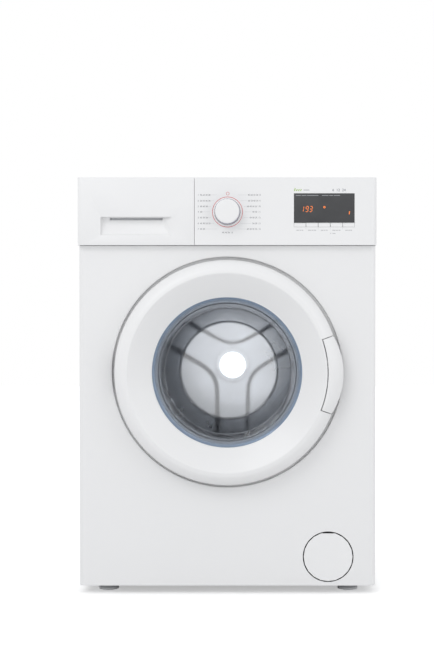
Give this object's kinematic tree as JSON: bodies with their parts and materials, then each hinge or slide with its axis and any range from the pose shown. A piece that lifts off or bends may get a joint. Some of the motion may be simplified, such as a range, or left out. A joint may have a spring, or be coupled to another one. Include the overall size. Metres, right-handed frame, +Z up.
{
  "type": "front-loading washing machine",
  "caption": "Free-standing front-loading washing machine with a round glazed door, detergent drawer, programme knob and display.",
  "frame": {"origin": "on the floor, under the middle of the bounding box", "axes": "+Z up along the height, -Y to the front, +X to the right of someone who faces the machine"},
  "size_m": [0.597, 0.557, 0.835],
  "materials": {
    "white_enamel": "smooth white enamel on steel sheet",
    "white_laminate": "white laminated board",
    "white_plastic": "white moulded plastic, satin",
    "grey_plastic": "light grey moulded plastic",
    "grey_moulding": "grey moulded plastic",
    "cream_plastic": "filled polypropylene",
    "black_plastic": "black moulded plastic",
    "blue_plastic": "blue moulded plastic",
    "smoked_glass": "dark glossy window",
    "circuit_green": "circuit board",
    "zinc_steel": "zinc coated steel",
    "bright_steel": "stainless steel",
    "cast_aluminium": "cast aluminium",
    "cast_iron": "dark painted cast iron",
    "door_glass": "clear pressed glass",
    "grey_rubber": "grey rubber",
    "black_rubber": "black rubber",
    "white_rubber": "white hose"
  },
  "bodies": {
    "cabinet": {"base_tray": "grey_moulding", "cabinet_wrap": "white_enamel", "cable_gland": "black_plastic", "control_board": "circuit_green", "control_fascia": "white_plastic", "damper_cylinder_left": "black_plastic", "damper_cylinder_right": "black_plastic", "dispenser_box": "grey_plastic", "dispenser_hose": "black_rubber", "display_window": "smoked_glass", "door_gasket": "grey_rubber", "door_lock": "grey_moulding", "drain_pump": "black_plastic", "fill_hose": "white_rubber", "front_panel": "white_enamel", "hinge_bracket": "zinc_steel", "inlet_valve": "white_plastic", "rear_cover": "zinc_steel", "spring_left": "bright_steel", "spring_right": "bright_steel", "sump_hose": "black_rubber", "worktop": "white_laminate"},
    "door": {"door_frame_outer": "white_plastic", "door_frame_inner": "white_plastic", "door_glass": "door_glass", "hinge_arm": "zinc_steel"},
    "handle": {"door_handle": "white_plastic"},
    "hook": {"door_hook": "zinc_steel"},
    "knob": {"programme_knob": "white_plastic"},
    "drawer": {"drawer_front": "white_plastic", "drawer_tray": "grey_plastic"},
    "tub": {"tub_front": "cream_plastic", "tub_rear": "cream_plastic", "counterweight_front": "cast_iron", "counterweight_top": "cast_iron", "motor": "cast_aluminium", "heater": "bright_steel", "drive_belt": "black_rubber", "bearing_front": "bright_steel", "bearing_rear": "bright_steel", "damper_rod_left": "grey_plastic", "damper_rod_right": "grey_plastic"},
    "drum": {"drum": "bright_steel", "drum_spider": "cast_aluminium", "drum_pulley": "cast_aluminium", "lifter_1": "grey_plastic", "lifter_2": "grey_plastic", "lifter_3": "grey_plastic"},
    "rotor": {"motor_pulley": "bright_steel"},
    "hatch": {"filter_cover": "white_plastic"},
    "filter": {"pump_filter": "blue_plastic"},
    "key_1": {"key_1": "grey_plastic"},
    "key_2": {"key_2": "grey_plastic"},
    "key_3": {"key_3": "grey_plastic"},
    "key_4": {"key_4": "grey_plastic"},
    "key_5": {"key_5": "grey_plastic"},
    "foot_front_left": {"foot_front_left": "black_plastic"},
    "foot_front_right": {"foot_front_right": "black_plastic"},
    "foot_rear_left": {"foot_rear_left": "black_plastic"},
    "foot_rear_right": {"foot_rear_right": "black_plastic"}
  },
  "joints": [
    {"name": "door_hinge", "type": "hinge", "parent": "cabinet", "child": "door", "pos_m": [-0.213, -0.2475, 0.446], "axis": [0, 0, -1], "range_deg": [0, 95]},
    {"name": "handle_pull", "type": "hinge", "parent": "door", "child": "handle", "pos_m": [0.1935, -0.27, 0.446], "axis": [0, 0, -1], "range_deg": [0, 10], "stiffness_Nm_per_rad": 1.5, "springref_deg": -6.88},
    {"name": "hook_turn", "type": "hinge", "parent": "door", "child": "hook", "pos_m": [0.2045, -0.235, 0.446], "axis": [0, 0, -1], "range_deg": [-10, 0]},
    {"name": "knob_turn", "type": "hinge", "parent": "cabinet", "child": "knob", "pos_m": [0.001, -0.2455, 0.7656], "axis": [0, 1, 0], "continuous": true},
    {"name": "drawer_slide", "type": "slide", "parent": "cabinet", "child": "drawer", "axis": [0, -1, 0], "range_m": [0, 0.2]},
    {"name": "tub_travel", "type": "slide", "parent": "cabinet", "child": "tub", "axis": [0, 0, 1], "range_m": [-0.01, 0.01], "stiffness_N_per_m": 10000, "springref_m": 0.03135, "deforming": ["spring_left", "spring_right", "door_gasket", "dispenser_hose", "sump_hose"]},
    {"name": "drum_spin", "type": "hinge", "parent": "tub", "child": "drum", "pos_m": [0, 0, 0.446], "axis": [0, 1, 0], "continuous": true},
    {"name": "motor_spin", "type": "hinge", "parent": "tub", "child": "rotor", "pos_m": [0.07, 0.194, 0.118], "axis": [0, 1, 0], "continuous": true},
    {"name": "hatch_hinge", "type": "hinge", "parent": "cabinet", "child": "hatch", "pos_m": [0.2025, -0.2322, 0.03], "axis": [1, 0, 0], "range_deg": [0, 70]},
    {"name": "filter_turn", "type": "hinge", "parent": "cabinet", "child": "filter", "pos_m": [0.2025, -0.222, 0.075], "axis": [0, -1, 0], "range_deg": [0, 90]},
    {"name": "key_1_press", "type": "slide", "parent": "cabinet", "child": "key_1", "axis": [0, 1, 0], "range_m": [0, 0.0008], "stiffness_N_per_m": 1200, "springref_m": -0.0005},
    {"name": "key_2_press", "type": "slide", "parent": "cabinet", "child": "key_2", "axis": [0, 1, 0], "range_m": [0, 0.0008], "stiffness_N_per_m": 1200, "springref_m": -0.0005},
    {"name": "key_3_press", "type": "slide", "parent": "cabinet", "child": "key_3", "axis": [0, 1, 0], "range_m": [0, 0.0008], "stiffness_N_per_m": 1200, "springref_m": -0.0005},
    {"name": "key_4_press", "type": "slide", "parent": "cabinet", "child": "key_4", "axis": [0, 1, 0], "range_m": [0, 0.0008], "stiffness_N_per_m": 1200, "springref_m": -0.0005},
    {"name": "key_5_press", "type": "slide", "parent": "cabinet", "child": "key_5", "axis": [0, 1, 0], "range_m": [0, 0.0008], "stiffness_N_per_m": 1200, "springref_m": -0.0005},
    {"name": "foot_front_left_screw", "type": "hinge", "parent": "cabinet", "child": "foot_front_left", "pos_m": [-0.245, -0.1785, 0], "axis": [0, 0, 1], "continuous": true},
    {"name": "foot_front_right_screw", "type": "hinge", "parent": "cabinet", "child": "foot_front_right", "pos_m": [0.245, -0.1785, 0], "axis": [0, 0, 1], "continuous": true},
    {"name": "foot_rear_left_screw", "type": "hinge", "parent": "cabinet", "child": "foot_rear_left", "pos_m": [-0.245, 0.2085, 0], "axis": [0, 0, 1], "continuous": true},
    {"name": "foot_rear_right_screw", "type": "hinge", "parent": "cabinet", "child": "foot_rear_right", "pos_m": [0.245, 0.2085, 0], "axis": [0, 0, 1], "continuous": true}
  ],
  "couplings": [
    {"joint": "hook_turn", "follows": "handle_pull", "ratio": -1},
    {"joint": "motor_spin", "follows": "drum_spin", "ratio": 14}
  ]
}
